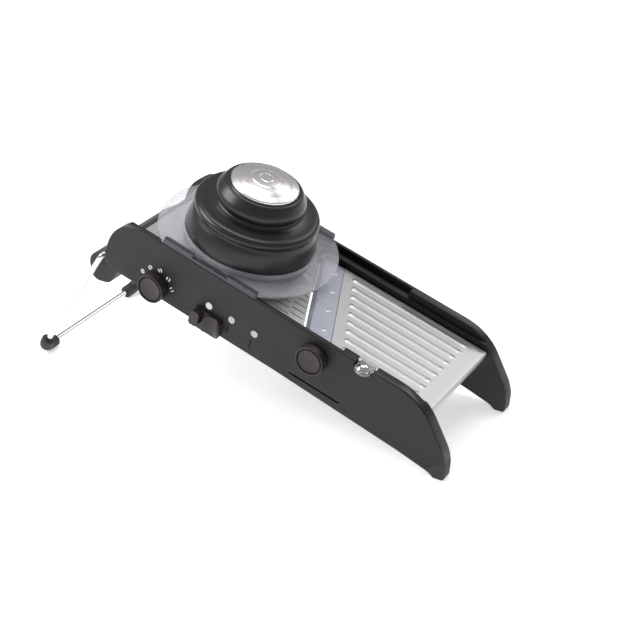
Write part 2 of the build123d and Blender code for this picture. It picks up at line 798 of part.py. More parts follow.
with BuildPart() as slider_marks:
    for stop in range(3):
        middle = slider_s + slider_mark_shift - stop * stop_pitch
        mark_disc(middle, slider_mark_h, slider_mark_r)
        for line in range(-2, 3):
            if stop == 1:
                mark_gap(middle + line * 1.5, slider_mark_h, 0.6, 9)
            if stop == 2:
                mark_gap(middle, slider_mark_h + line * 1.5, 9, 0.6, 0)
keep(slider_marks.part, "slider_marks")

with BuildPart() as stop_marks:
    for stop in (1, 2):
        middle = slider_s + slider_mark_shift + 1.4 - stop * stop_pitch
        side_box((middle - 0.5, middle + 0.5), (13.8, 22.0), panel_v + mark_proud, mark_proud,
                 mode=Mode.ADD)
keep(stop_marks.part, "stop_marks")

# ---- release catch on the rail --------------------------------------------------------------
catch_s = (notch_front + notch_rear) / 2
catch_half = 7.8
catch_inner = inner_face + 3.4
catch_level = notch_level + slide_gap
catch_thickness = 3.4

with BuildPart() as release_tab:
    with BuildSketch(deck_plane(catch_level)):
        with BuildLine():
            Polyline(
                (catch_s - catch_half, half_width),
                (catch_s - catch_half, catch_inner),
                (catch_s + catch_half, catch_inner),
                (catch_s + catch_half, half_width),
            )
            ThreePointArc(
                (catch_s + catch_half, half_width),
                (catch_s, half_width + catch_half),
                (catch_s - catch_half, half_width),
            )
        make_face()
    extrude(amount=catch_thickness)
    fillet(release_tab.faces().sort_by(Axis.Z)[-1].edges(), 1.0)
keep(release_tab.part, "release_tab")

with BuildPart() as release_stud:
    stud_base = catch_level + catch_thickness
    with BuildSketch(spin_plane(catch_s, half_width + 0.4, stud_base)):
        with BuildLine():
            dome = crown(6.4, 0, 4.0)
            Polyline(dome @ 1, (0, 0), dome @ 0)
        make_face()
    revolve(axis=Axis(spot(catch_s, half_width + 0.4, stud_base), off_slope))
keep(release_stud.part, "release_stud")

# ---- food carriage and pusher ---------------------------------------------------------------
plate_top = carriage_level + carriage_plate_thickness
runner_front = 54.0
runner_rear = 49.0
runner_inner = collar_r + 2.0
tongue_low = ledge_level + 0.4
tongue_outer = half_width - ledge_wall - 0.4
tongue_front = carriage_s - 30
ridge_length = 33.0
ridge_high = plate_top + 3.0
tube_low = 56.2
tube_high = 92.0
collar_wall = 1.8
collar_high = plate_top + 5.6

with BuildPart() as food_carriage:
    with BuildSketch(deck_plane(carriage_level)):
        with Locations((carriage_s, 0)):
            Circle(carriage_plate_r)
            Rectangle(3 * carriage_plate_r, body_width, mode=Mode.INTERSECT)
            for side in (1, -1):
                with Locations(((runner_rear - runner_front) / 2, side * (runner_inner + 15))):
                    Rectangle(runner_front + runner_rear + 0.4, 30, mode=Mode.SUBTRACT)
    extrude(amount=carriage_plate_thickness)
    for radius, wall, low, high in (
        (feed_tube_r, feed_tube_wall, tube_low, tube_high),
        (collar_r, collar_wall, plate_top - 0.5, collar_high),
    ):
        with BuildSketch(deck_plane(low)):
            with Locations((carriage_s, 0)):
                Circle(radius + wall)
                Circle(radius, mode=Mode.SUBTRACT)
        extrude(amount=high - low)
    with BuildSketch(deck_plane(tube_low)):
        with Locations((carriage_s, 0)):
            Circle(feed_tube_r)
    extrude(amount=tube_high - tube_low, mode=Mode.SUBTRACT)
keep(food_carriage.part, "food_carriage")


def runner(side):
    """Slide shoe that clips over the carriage's edge and runs along a rail's ledge."""
    with BuildPart() as shoe:
        s_range = (carriage_s - runner_front, carriage_s + runner_rear)
        web_outer = side * (half_width + 0.2)
        side_box(s_range, (carriage_level - 0.2, plate_top), web_outer,
                 side * (half_width + 0.2 - runner_inner), mode=Mode.ADD)
        side_box((tongue_front, s_range[1]), (tongue_low, carriage_level - 0.1), side * tongue_outer,
                 side * (tongue_outer - inner_face - 0.7), mode=Mode.ADD)
        for front in (s_range[0], s_range[1] - ridge_length):
            with BuildSketch(deck_plane(plate_top - 0.1)):
                with Locations((front + ridge_length / 2, side * (half_width - 2.2))):
                    RectangleRounded(ridge_length, 4.8, 1.8)
            extrude(amount=ridge_high - plate_top + 0.1)
    return shoe.part


for side, name in ((1, "near"), (-1, "far")):
    keep(runner(side), f"{name}_runner")

hat_low = 69.6
hat_roof = cap_level - 6.3
tier_level = cap_level - 31.2      # widest part of the second tier
top_level = cap_level - 15.8       # widest part of the top tier
hat_outline = (
    (hat_skirt_r - 0.3, hat_low),
    (hat_skirt_r, hat_low + 4),
    (hat_skirt_r - 0.6, hat_low + 10.4),
    (hat_skirt_r - 2.2, tier_level - 12.6),
    (hat_tier_r - 1.3, tier_level - 7.1),
    (hat_tier_r - 2.3, tier_level - 4.6),
    (hat_tier_r - 1.5, tier_level - 2.6),
    (hat_tier_r, tier_level),
    (hat_tier_r - 0.6, tier_level + 3.0),
    (hat_tier_r - 3.3, tier_level + 5.2),
    (hat_tier_r - 7.9, tier_level + 5.7),
    (hat_top_r + 3.0, tier_level + 6.3),
    (hat_top_r - 1.4, tier_level + 7.8),
    (hat_top_r - 2.8, top_level - 5.7),
    (hat_top_r - 1.4, top_level - 3.4),
    (hat_top_r, top_level),
    (hat_top_r - 0.6, top_level + 4.4),
    (hat_top_r - 3.4, top_level + 9.0),
    (cap_r + 3.3, cap_level - 2.9),
    (cap_r + 0.25, cap_level - 3.2),
)

with BuildPart() as pusher_hat:
    with BuildSketch(spin_plane(carriage_s, 0, 0)):
        with BuildLine():
            outside = Spline(*hat_outline)
            Polyline(
                outside @ 1,
                (cap_r + 0.25, hat_roof),
                (0, hat_roof),
                (0, hat_roof - hat_wall),
                (hat_top_r - 6.3, hat_roof - hat_wall),
                (hat_top_r - 5.6, top_level + 2),
                (hat_top_r - 5.6, tier_level + 3.4),
                (hat_tier_r - 6.4, tier_level + 2.4),
                (hat_tier_r - 4.7, tier_level - 2.6),
                (hat_tier_r - 4.9, tier_level - 5.6),
                (hat_skirt_r - 4.6, tier_level - 13.6),
                (hat_skirt_r - hat_wall, hat_low + 8.4),
                (hat_skirt_r - hat_wall, hat_low),
                outside @ 0,
            )
        make_face()
    revolve(axis=Axis(spot(carriage_s, 0, 0), off_slope))
keep(pusher_hat.part, "pusher_hat")

with BuildPart() as pusher_cap:
    with BuildSketch(spin_plane(carriage_s, 0, 0)):
        with BuildLine():
            rim_turn = ThreePointArc((cap_r, cap_level - 1.6), (cap_r - 0.5, cap_level - 0.3),
                                     (cap_r - 1.7, cap_level + 0.3))
            top = crown(cap_r - 1.7, cap_level + 0.3, 5.3)
            Polyline(top @ 1, (0, hat_roof), (cap_r, hat_roof), rim_turn @ 0)
        make_face()
    revolve(axis=Axis(spot(carriage_s, 0, 0), off_slope))
keep(pusher_cap.part, "pusher_cap")

plunger_r = feed_tube_r - 0.8
plunger_low = 60.2
plunger_disc = 4.0
stem_r = 9.0
spike_low = 54.6

with BuildPart() as plunger:
    with BuildSketch(deck_plane(plunger_low)):
        with Locations((carriage_s, 0)):
            Circle(plunger_r)
    extrude(amount=plunger_disc)
    with BuildSketch(deck_plane(plunger_low)):
        with Locations((carriage_s, 0)):
            Circle(stem_r)
    extrude(amount=hat_roof - hat_wall - plunger_low)
keep(plunger.part, "plunger")

with BuildPart() as plunger_spikes:
    with BuildSketch(deck_plane(plunger_low)):
        with Locations((carriage_s, 0)):
            for ring_r, count in ((9.0, 6), (19.0, 10), (28.5, 15)):
                with PolarLocations(ring_r, count):
                    Circle(0.9)
    extrude(amount=spike_low - plunger_low, taper=6)
keep(plunger_spikes.part, "plunger_spikes")

# ---- rear crossbar and the folding leg ------------------------------------------------------
crossbar_reach = liner_inner - 0.1
crossbar_corners = (
    (354, 29), (371.5, 30), (381, 15.5), (400.5, -5.5), (391, -29), (371.5, -22.5), (361.5, 5.5), (354, 6.5),
)
crossbar_radii = (1, 5, 8, 13, 10, 9, 6, 1)
crossbar_screw_spots = ((361, 17.5), (367, 24.5))
crossbar_end = 12.0
crossbar_wall = 3.0

with BuildPart() as rear_crossbar:
    with BuildSketch(side_plane(crossbar_reach)):
        with BuildLine():
            FilletPolyline(*crossbar_corners, radius=crossbar_radii, close=True)
        make_face()
    extrude(amount=2 * crossbar_reach)
    fillet(rear_crossbar.faces().sort_by(Axis.Y)[0].edges(), 0.8)
    fillet(rear_crossbar.faces().sort_by(Axis.Y)[-1].edges(), 0.8)
    with BuildSketch(side_plane(crossbar_reach - crossbar_end)):
        with BuildLine():
            FilletPolyline(*crossbar_corners, radius=crossbar_radii, close=True)
        make_face()
        offset(amount=-crossbar_wall)
        with Locations((crossbar_corners[0][0], (crossbar_corners[0][1] + crossbar_corners[-1][1]) / 2)):
            Rectangle(3 * crossbar_wall, crossbar_corners[0][1] - crossbar_corners[-1][1] - 2 * crossbar_wall)
    extrude(amount=2 * (crossbar_reach - crossbar_end), mode=Mode.SUBTRACT)
    for side in (1, -1):
        side_hole(leg_pivot_s, leg_pivot_h, leg_wire_r + run_gap, side * (crossbar_reach + 1), side * 11)
        for s, h in crossbar_screw_spots:
            side_hole(s, h, screw_r, side * (crossbar_reach + 1), side * 9)
keep(rear_crossbar.part, "rear_crossbar")

leg_foot = Vector(toe.X - leg_foot_back, toe.Y, sleeve_r)


def leg_corner(side):
    return leg_foot + Vector(0, -side * leg_foot_v, 0)


def leg_route():
    """Corners of the wire: in through the crossbar, down, across and back up."""
    return (
        spot(leg_pivot_s, crossbar_reach - 9, leg_pivot_h),
        spot(leg_pivot_s, leg_pivot_v, leg_pivot_h),
        leg_corner(1),
        leg_corner(-1),
        spot(leg_pivot_s, -leg_pivot_v, leg_pivot_h),
        spot(leg_pivot_s, -crossbar_reach + 9, leg_pivot_h),
    )


leg_bend = 11.0
pivot_bend = 4.0
sleeve_along = 14.0
sleeve_across = 19.0

with BuildPart() as leg_wire:
    with BuildLine() as route:
        FilletPolyline(*leg_route(), radius=(pivot_bend, leg_bend, leg_bend, pivot_bend))
    with BuildSketch(Plane(origin=route.line @ 0, z_dir=route.line % 0)):
        Circle(leg_wire_r)
    sweep(path=route.line)
keep(leg_wire.part, "leg_wire")


def elbow(side):
    """Rubber sleeve round one bend of the wire."""
    corner = leg_corner(side)
    along = (spot(leg_pivot_s, side * leg_pivot_v, leg_pivot_h) - corner).normalized()
    across = Vector(0, side, 0)
    with BuildPart() as sleeve:
        with BuildLine() as bend:
            FilletPolyline(corner + across * sleeve_across, corner, corner + along * sleeve_along,
                           radius=(leg_bend,))
        with BuildSketch(Plane(origin=bend.line @ 0, z_dir=bend.line % 0)):
            Circle(sleeve_r)
            Circle(leg_wire_r + 0.03, mode=Mode.SUBTRACT)
        sweep(path=bend.line)
    return sleeve.part


for side, name in ((1, "near"), (-1, "far")):
    keep(elbow(side), f"{name}_elbow")


os.makedirs("parts", exist_ok=True)
for name, part in finished.items():
    export_step(part, f"parts/{name}.step")
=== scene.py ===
import json
from math import cos, pi, radians, sin, sqrt

import bmesh
import bpy
from bpy.props import FloatProperty, FloatVectorProperty, IntProperty, PointerProperty
from bpy.types import Operator, Panel, PropertyGroup
from mathutils import Euler, Matrix, Vector


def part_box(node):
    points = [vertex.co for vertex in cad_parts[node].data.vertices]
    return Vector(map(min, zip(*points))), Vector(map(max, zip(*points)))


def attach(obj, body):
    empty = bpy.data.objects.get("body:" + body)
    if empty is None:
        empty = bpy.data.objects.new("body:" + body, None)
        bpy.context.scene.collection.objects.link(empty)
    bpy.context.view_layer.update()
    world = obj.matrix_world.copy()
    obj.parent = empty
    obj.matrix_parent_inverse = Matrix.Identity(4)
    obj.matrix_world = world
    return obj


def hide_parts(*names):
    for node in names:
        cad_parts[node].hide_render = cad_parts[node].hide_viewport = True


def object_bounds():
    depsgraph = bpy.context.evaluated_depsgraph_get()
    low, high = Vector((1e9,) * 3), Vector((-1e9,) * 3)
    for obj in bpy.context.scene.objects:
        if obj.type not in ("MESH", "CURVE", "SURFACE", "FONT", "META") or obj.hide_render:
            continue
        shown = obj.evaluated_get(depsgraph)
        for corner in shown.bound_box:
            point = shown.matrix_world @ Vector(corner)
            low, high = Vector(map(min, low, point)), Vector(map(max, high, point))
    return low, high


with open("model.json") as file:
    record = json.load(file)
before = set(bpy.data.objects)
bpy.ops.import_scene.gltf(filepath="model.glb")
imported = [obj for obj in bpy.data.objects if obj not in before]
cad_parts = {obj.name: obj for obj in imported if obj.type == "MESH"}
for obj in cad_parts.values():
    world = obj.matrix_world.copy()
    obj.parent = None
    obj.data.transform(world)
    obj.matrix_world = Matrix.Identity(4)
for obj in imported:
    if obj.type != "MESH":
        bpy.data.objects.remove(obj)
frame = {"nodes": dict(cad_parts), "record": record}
cad_box = [list(corner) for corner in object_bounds()]

bl_info = {
    "name": "Mandoline slicer looks",
    "version": (1, 0, 0),
    "blender": (4, 5, 0),
    "location": "3D View > Sidebar > Slicer",
    "description": "Finishes a mandoline slicer: moulded rails, steel deck, holder and wire leg",
    "category": "Object",
}

# Places on the sloping body are (s, v, h) in millimetres: s up the slope from the toe, v towards
# the side with the knobs, h square off the slope.
MM = 0.001
JOINTS = {joint["name"]: joint for joint in frame["record"]["behaviour"]["joints"]}
BODY_OF = {node: body for body, nodes in frame["record"]["behaviour"]["bodies"].items() for node in nodes}
UP = -Vector(JOINTS["carriage_slide"]["axis"]).normalized()
OFF = Vector(JOINTS["pusher_lift"]["axis"]).normalized()
ACROSS = Vector((0, -1, 0))
LEG_PIVOT_S, LEG_PIVOT_H = 382.5, 8.0
TOE = Vector(JOINTS["leg_fold"]["pos_m"]) - UP * (LEG_PIVOT_S * MM) - OFF * (LEG_PIVOT_H * MM)
SLOPE = Matrix((
    (UP.x, ACROSS.x, OFF.x, TOE.x / MM),
    (UP.y, ACROSS.y, OFF.y, TOE.y / MM),
    (UP.z, ACROSS.z, OFF.z, TOE.z / MM),
    (0, 0, 0, 1 / MM),
)) * MM
FROM_SLOPE = SLOPE.inverted()
SLOPE_DEGREES = 17.45

# The camera: its place from the toe in metres, how it is turned in degrees, and its lens
CAMERA_FROM_TOE = (0.4395, -1.0167, 0.7458)
CAMERA_TURN = (60.67, 0.0, 30.69)
LENS_MM, SENSOR_MM = 82.9, 36.0

# The soft lights: name, place, what it faces, size (all in metres) and share of the key's power
SOFTBOXES = (
    ("key", (-1.5, -0.9, 1.5), (0, 0, 0.1), (1.3, 1.2), 0.6),
    ("top", (-0.1, 0.5, 2.3), (0.05, 0, 0.08), (1.7, 0.8), 0.34),
    ("back", (0.85, 2.0, 1.75), (0.1, 0, 0.08), (1.5, 1.0), 0.2),
)
FLOOR_GLOW = 0.5

MERGE_GAP = 2e-6        # metres between points that are one point
FLAT_DEGREES = 0.2      # faces that turn less than this are one flat face


def linear(code):
    """An sRGB hex colour as the linear values that Blender uses."""
    parts = [int(code[start:start + 2], 16) / 255 for start in (1, 3, 5)]
    return tuple(part / 12.92 if part <= 0.04045 else ((part + 0.055) / 1.055) ** 2.4 for part in parts)


def colour(label, code):
    return FloatVectorProperty(name=label, description=f"Colour of the {label.lower()}",
                               subtype="COLOR", size=3, min=0.0, max=1.0, default=linear(code))


def length(label, description, millimetres):
    return FloatProperty(name=label, description=description, unit="LENGTH", subtype="DISTANCE",
                         min=0.0, default=millimetres * MM)


class SlicerColours(PropertyGroup):
    rail: colour("Rail panels", "#1f1c1d")
    rim: colour("Rail rims", "#111011")
    soft: colour("Knobs and slider", "#292026")
    rubber: colour("Feet", "#2c272b")
    hat: colour("Pusher hat", "#1c1c1e")
    steel: colour("Steel sheets", "#c4c4c4")
    blade: colour("Blade", "#c6cad6")
    smoke: colour("Food carriage", "#f1eff8")
    floor: colour("Floor", "#f6f6f6")


class SlicerSizes(PropertyGroup):
    edge: length("Moulded edge", "Rounding of the plastic edges", 0.35)
    sheet_edge: length("Sheet edge", "Rounding of the steel edges", 0.18)
    rib_height: length("Rib height", "How far the ribs stand off the deck", 0.42)
    rib_end: length("Rib ends", "Extra swell at both ends of a rib", 0.42)
    rib_count: IntProperty(name="Ribs", description="Number of ribs on the deck", default=9, min=1)
    rib_pitch: length("Rib pitch", "Distance between the ribs", 11.8)
    engraving: length("Engraving", "Depth of the rings on the cap", 0.16)


class SlicerStage(PropertyGroup):
    floor_size: length("Floor", "Side of the floor", 9000)
    key_power: FloatProperty(name="Key light", description="Power of the key light",
                             default=60.0, min=0.0)
    fill: FloatProperty(name="Fill", description="Strength of the light from all round",
                        default=0.34, min=0.0)


def add(tree, kind, settings=None, values=None, links=None):
    """Adds a node with its settings, its sockets' values and its links."""
    made = tree.nodes.new(kind)
    for key, value in (settings or {}).items():
        setattr(made, key, value)
    for key, value in (values or {}).items():
        made.inputs[key].default_value = value
    for key, source in (links or {}).items():
        tree.links.new(source, made.inputs[key])
    return made


def surface(name, base, values):
    """A material with one Principled surface; returns the material, its tree and that surface."""
    material = bpy.data.materials.new(name)
    material.use_nodes = True
    tree = material.node_tree
    tree.nodes.clear()
    shader = add(tree, "ShaderNodeBsdfPrincipled", values={"Base Color": (*base, 1.0), **values})
    add(tree, "ShaderNodeOutputMaterial", links={"Surface": shader.outputs[0]})
    return material, tree, shader


def slope_coordinates(tree, scale):
    """Object coordinates turned to lie along the slope; scale is pattern cells per metre each way."""
    place = add(tree, "ShaderNodeTexCoord")
    turned = add(tree, "ShaderNodeMapping", {"vector_type": "POINT"},
                 {"Rotation": (0.0, -radians(SLOPE_DEGREES), 0.0)}, {"Vector": place.outputs["Object"]})
    return add(tree, "ShaderNodeMapping", {"vector_type": "POINT"}, {"Scale": scale},
               {"Vector": turned.outputs[0]}).outputs[0]


def moulded(name, base, roughness, grain_mm, relief, specular=0.5, worn=0.06):
    """Moulded plastic: an even colour, a fine texture and a slight change of gloss."""
    material, tree, shader = surface(name, base, {"Roughness": roughness, "Specular IOR Level": specular})
    place = add(tree, "ShaderNodeTexCoord").outputs["Object"]
    grain = add(tree, "ShaderNodeTexNoise", values={"Scale": 1 / (grain_mm * MM), "Detail": 2.0},
                links={"Vector": place})
    cloud = add(tree, "ShaderNodeTexNoise", values={"Scale": 1 / (35 * MM), "Detail": 3.0},
                links={"Vector": place})
    gloss = add(tree, "ShaderNodeMapRange",
                values={"From Min": 0.3, "From Max": 0.7,
                        "To Min": roughness - worn, "To Max": roughness + worn},
                links={"Value": cloud.outputs["Fac"]})
    tree.links.new(gloss.outputs[0], shader.inputs["Roughness"])
    bump = add(tree, "ShaderNodeBump", values={"Strength": relief, "Distance": 0.0001},
               links={"Height": grain.outputs["Fac"]})
    tree.links.new(bump.outputs[0], shader.inputs["Normal"])
    return material


def brushed(name, base, roughness, streak_mm, relief):
    """Brushed steel: fine scratches one way, which stretch the highlights across them."""
    material, tree, shader = surface(name, base, {"Metallic": 1.0, "Roughness": roughness})
    across = 1 / (streak_mm * MM)
    place = slope_coordinates(tree, (10.0, across, across))
    lines = add(tree, "ShaderNodeTexNoise", values={"Scale": 1.0, "Detail": 3.0, "Roughness": 0.6},
                links={"Vector": place})
    gloss = add(tree, "ShaderNodeMapRange",
                values={"From Min": 0.25, "From Max": 0.75,
                        "To Min": roughness * 0.75, "To Max": roughness * 1.3},
                links={"Value": lines.outputs["Fac"]})
    tree.links.new(gloss.outputs[0], shader.inputs["Roughness"])
    tone = add(tree, "ShaderNodeMix", {"data_type": "RGBA"}, links={"Factor": lines.outputs["Fac"]})
    tone.inputs["A"].default_value = (*(0.86 * part for part in base), 1.0)
    tone.inputs["B"].default_value = (*(min(1.0, 1.08 * part) for part in base), 1.0)
    tree.links.new(tone.outputs["Result"], shader.inputs["Base Color"])
    bump = add(tree, "ShaderNodeBump", values={"Strength": relief, "Distance": 0.00005},
               links={"Height": lines.outputs["Fac"]})
    tree.links.new(bump.outputs[0], shader.inputs["Normal"])
    return material


def polished(name, base, roughness):
    """Polished metal with faint wiping marks."""
    material, tree, shader = surface(name, base, {"Metallic": 1.0, "Roughness": roughness})
    place = add(tree, "ShaderNodeTexCoord").outputs["Object"]
    cloud = add(tree, "ShaderNodeTexNoise", values={"Scale": 1 / (9 * MM), "Detail": 4.0},
                links={"Vector": place})
    gloss = add(tree, "ShaderNodeMapRange",
                values={"From Min": 0.3, "From Max": 0.7,
                        "To Min": roughness * 0.92, "To Max": roughness * 1.1},
                links={"Value": cloud.outputs["Fac"]})
    tree.links.new(gloss.outputs[0], shader.inputs["Roughness"])
    return material


def clear(name, base, roughness, transmission, cover):
    """Clear moulded plastic, tinted in the mass; cover is the share of light that it stops."""
    material, tree, shader = surface(name, base, {
        "Roughness": roughness, "Transmission Weight": transmission, "IOR": 1.49, "Alpha": cover})
    place = add(tree, "ShaderNodeTexCoord").outputs["Object"]
    flow = add(tree, "ShaderNodeTexNoise", values={"Scale": 1 / (14 * MM), "Detail": 2.0},
               links={"Vector": place})
    bump = add(tree, "ShaderNodeBump", values={"Strength": 0.12, "Distance": 0.001},
               links={"Height": flow.outputs["Fac"]})
    tree.links.new(bump.outputs[0], shader.inputs["Normal"])
    return material


def printed(name, base, shine):
    """Printed ink: flat and even."""
    return surface(name, base, {"Roughness": 0.5, "Specular IOR Level": shine})[0]


FINISHES = {}


def make_finishes(colours):
    # textured glass-filled ABS: dark, dry, with a soft sheen at low angles
    FINISHES["panel"] = moulded("ABS moulded, fine texture", colours.rail, 0.52, 0.35, 0.35, 0.4)
    # the same ABS polished in the tool: darker and glossier along the rims
    FINISHES["rim"] = moulded("ABS moulded, polished rim", colours.rim, 0.34, 0.5, 0.1)
    FINISHES["soft"] = moulded("TPE overmould, satin", colours.soft, 0.46, 0.4, 0.15)
    FINISHES["rubber"] = moulded("TPE foot, matt", colours.rubber, 0.6, 0.5, 0.3)
    FINISHES["grain"] = moulded("Rubber, coarse grain", linear("#2e2c2e"), 0.62, 0.9, 0.8)
    FINISHES["hat"] = moulded("ABS moulded, satin black", colours.hat, 0.33, 0.6, 0.05, worn=0.03)
    # rolled stainless brushed along the slope: long soft streaks
    FINISHES["sheet"] = brushed("Stainless sheet, brushed", colours.steel, 0.42, 0.35, 0.05)
    FINISHES["blade"] = brushed("Blade steel, ground", colours.blade, 0.3, 0.25, 0.012)
    FINISHES["bevel"] = polished("Blade steel, honed bevel", linear("#f0f0f2"), 0.12)
    FINISHES["bright"] = polished("Stainless, polished", linear("#dcdad8"), 0.1)
    FINISHES["cap"] = polished("Stainless, spun and polished", linear("#f3efef"), 0.26)
    # the walls of the slots cut through the sheet: painted dark as shade in the slots, so each slot reads as
    # a dark dash
    FINISHES["slot_shade"] = polished("Stainless, slot walls painted dark as shade", linear("#3b3838"), 0.5)
    FINISHES["screw"] = polished("Steel, zinc plated", linear("#8f8f8f"), 0.3)
    # polycarbonate tinted grey with a lilac cast: shows what lies under it, dimmed
    FINISHES["smoke"] = clear("Polycarbonate, smoke tint", colours.smoke, 0.08, 0.6, 0.42)
    FINISHES["shoe"] = clear("Polycarbonate, thick smoke", linear("#55505f"), 0.14, 0.35, 0.85)
    FINISHES["clear"] = clear("Polycarbonate, clear", linear("#eef0f4"), 0.12, 0.8, 0.7)
    FINISHES["white"] = printed("Ink, white", linear("#dfe6ea"), 0.5)
    FINISHES["black"] = printed("Ink, black", linear("#0c0c0c"), 0.05)


def cad_mesh(node):
    """A merged copy of a CAD node's mesh, with its flat faces made whole."""
    shape = bmesh.new()
    shape.from_mesh(frame["nodes"][node].data)
    bmesh.ops.remove_doubles(shape, verts=shape.verts, dist=MERGE_GAP)
    bmesh.ops.dissolve_limit(shape, angle_limit=radians(FLAT_DEGREES), verts=shape.verts, edges=shape.edges)
    return shape


def plain_mesh(shape, name, bevel=0.0, sharp=32.0):
    """Turns a bmesh into a smooth-shaded mesh whose sharp edges are bevelled by a modifier."""
    mesh = bpy.data.meshes.new(name)
    shape.to_mesh(mesh)
    shape.free()
    mesh.shade_smooth()
    mesh.set_sharp_from_angle(angle=radians(sharp))
    if not bevel:
        return mesh
    carrier = bpy.data.objects.new(name + "_carrier", mesh)
    bpy.context.scene.collection.objects.link(carrier)
    cut = carrier.modifiers.new("edges", "BEVEL")
    cut.width = bevel
    cut.segments = 2
    cut.limit_method = "ANGLE"
    cut.angle_limit = radians(sharp)
    cut.use_clamp_overlap = True
    cut.harden_normals = True
    bpy.context.view_layer.update()
    made = bpy.data.meshes.new_from_object(carrier.evaluated_get(bpy.context.evaluated_depsgraph_get()))
    made.name = name
    bpy.data.objects.remove(carrier)
    return made


def place_piece(mesh, name, stands_for, finish):
    """Makes the object, rides it on its body and hides the CAD nodes that it stands for."""
    mesh.materials.clear()
    for key in [finish] if isinstance(finish, str) else finish:
        mesh.materials.append(FINISHES[key])
    piece = bpy.data.objects.new(name, mesh)
    bpy.context.scene.collection.objects.link(piece)
    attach(piece, BODY_OF[stands_for[0]])
    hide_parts(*stands_for)
    return piece


def finish_node(node, finish, bevel, sharp=32.0):
    """Stands a clean, bevelled copy in for one CAD node."""
    mesh = plain_mesh(cad_mesh(node), node + "_skin", bevel, sharp)
    return place_piece(mesh, node + "_skin", [node], finish)


def middle_of(node):
    low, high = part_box(node)
    return (low + high) / 2


def turned(profile, axis_point, axis, steps=128):
    """A closed solid turned from (radius, height) points in millimetres; both ends meet the axis
    or the profile is a closed loop."""
    turn = Vector((0, 0, 1)).rotation_difference(axis).to_matrix()
    shape = bmesh.new()
    rings = []
    for radius, height in profile:
        if radius < 1e-6:
            rings.append([shape.verts.new(axis_point + turn @ Vector((0, 0, height * MM)))])
            continue
        ring = []
        for number in range(steps):
            angle = 2 * pi * number / steps
            at = Vector((radius * cos(angle), radius * sin(angle), height)) * MM
            ring.append(shape.verts.new(axis_point + turn @ at))
        rings.append(ring)
    open_ended = len(rings[0]) == 1 and len(rings[-1]) == 1
    pairs = list(zip(rings, rings[1:])) + ([] if open_ended else [(rings[-1], rings[0])])
    for low, high in pairs:
        for number in range(steps):
            after = (number + 1) % steps
            if len(low) == 1:
                shape.faces.new((low[0], high[number], high[after]))
            elif len(high) == 1:
                shape.faces.new((low[number], high[0], low[after]))
            else:
                shape.faces.new((low[number], high[number], high[after], low[after]))
    bmesh.ops.recalc_face_normals(shape, faces=shape.faces)
    return shape


def slope_piece(shape):
    """Takes a bmesh built in (s, v, h) millimetres to its place."""
    bmesh.ops.transform(shape, matrix=SLOPE, verts=shape.verts)
    return shape


# ---- repeated pieces, by geometry nodes -----------------------------------------------------
def loose_parts(node):
    """Each separate solid of a node as a list of its points in (s, v, h) millimetres."""
    shape = cad_mesh(node)
    found, seen = [], set()
    for start in shape.verts:
        if start.index in seen:
            continue
        group, queue = [], [start]
        seen.add(start.index)
        while queue:
            vert = queue.pop()
            group.append(FROM_SLOPE @ vert.co)
            for edge in vert.link_edges:
                other = edge.other_vert(vert)
                if other.index not in seen:
                    seen.add(other.index)
                    queue.append(other)
        found.append(group)
    shape.free()
    return found


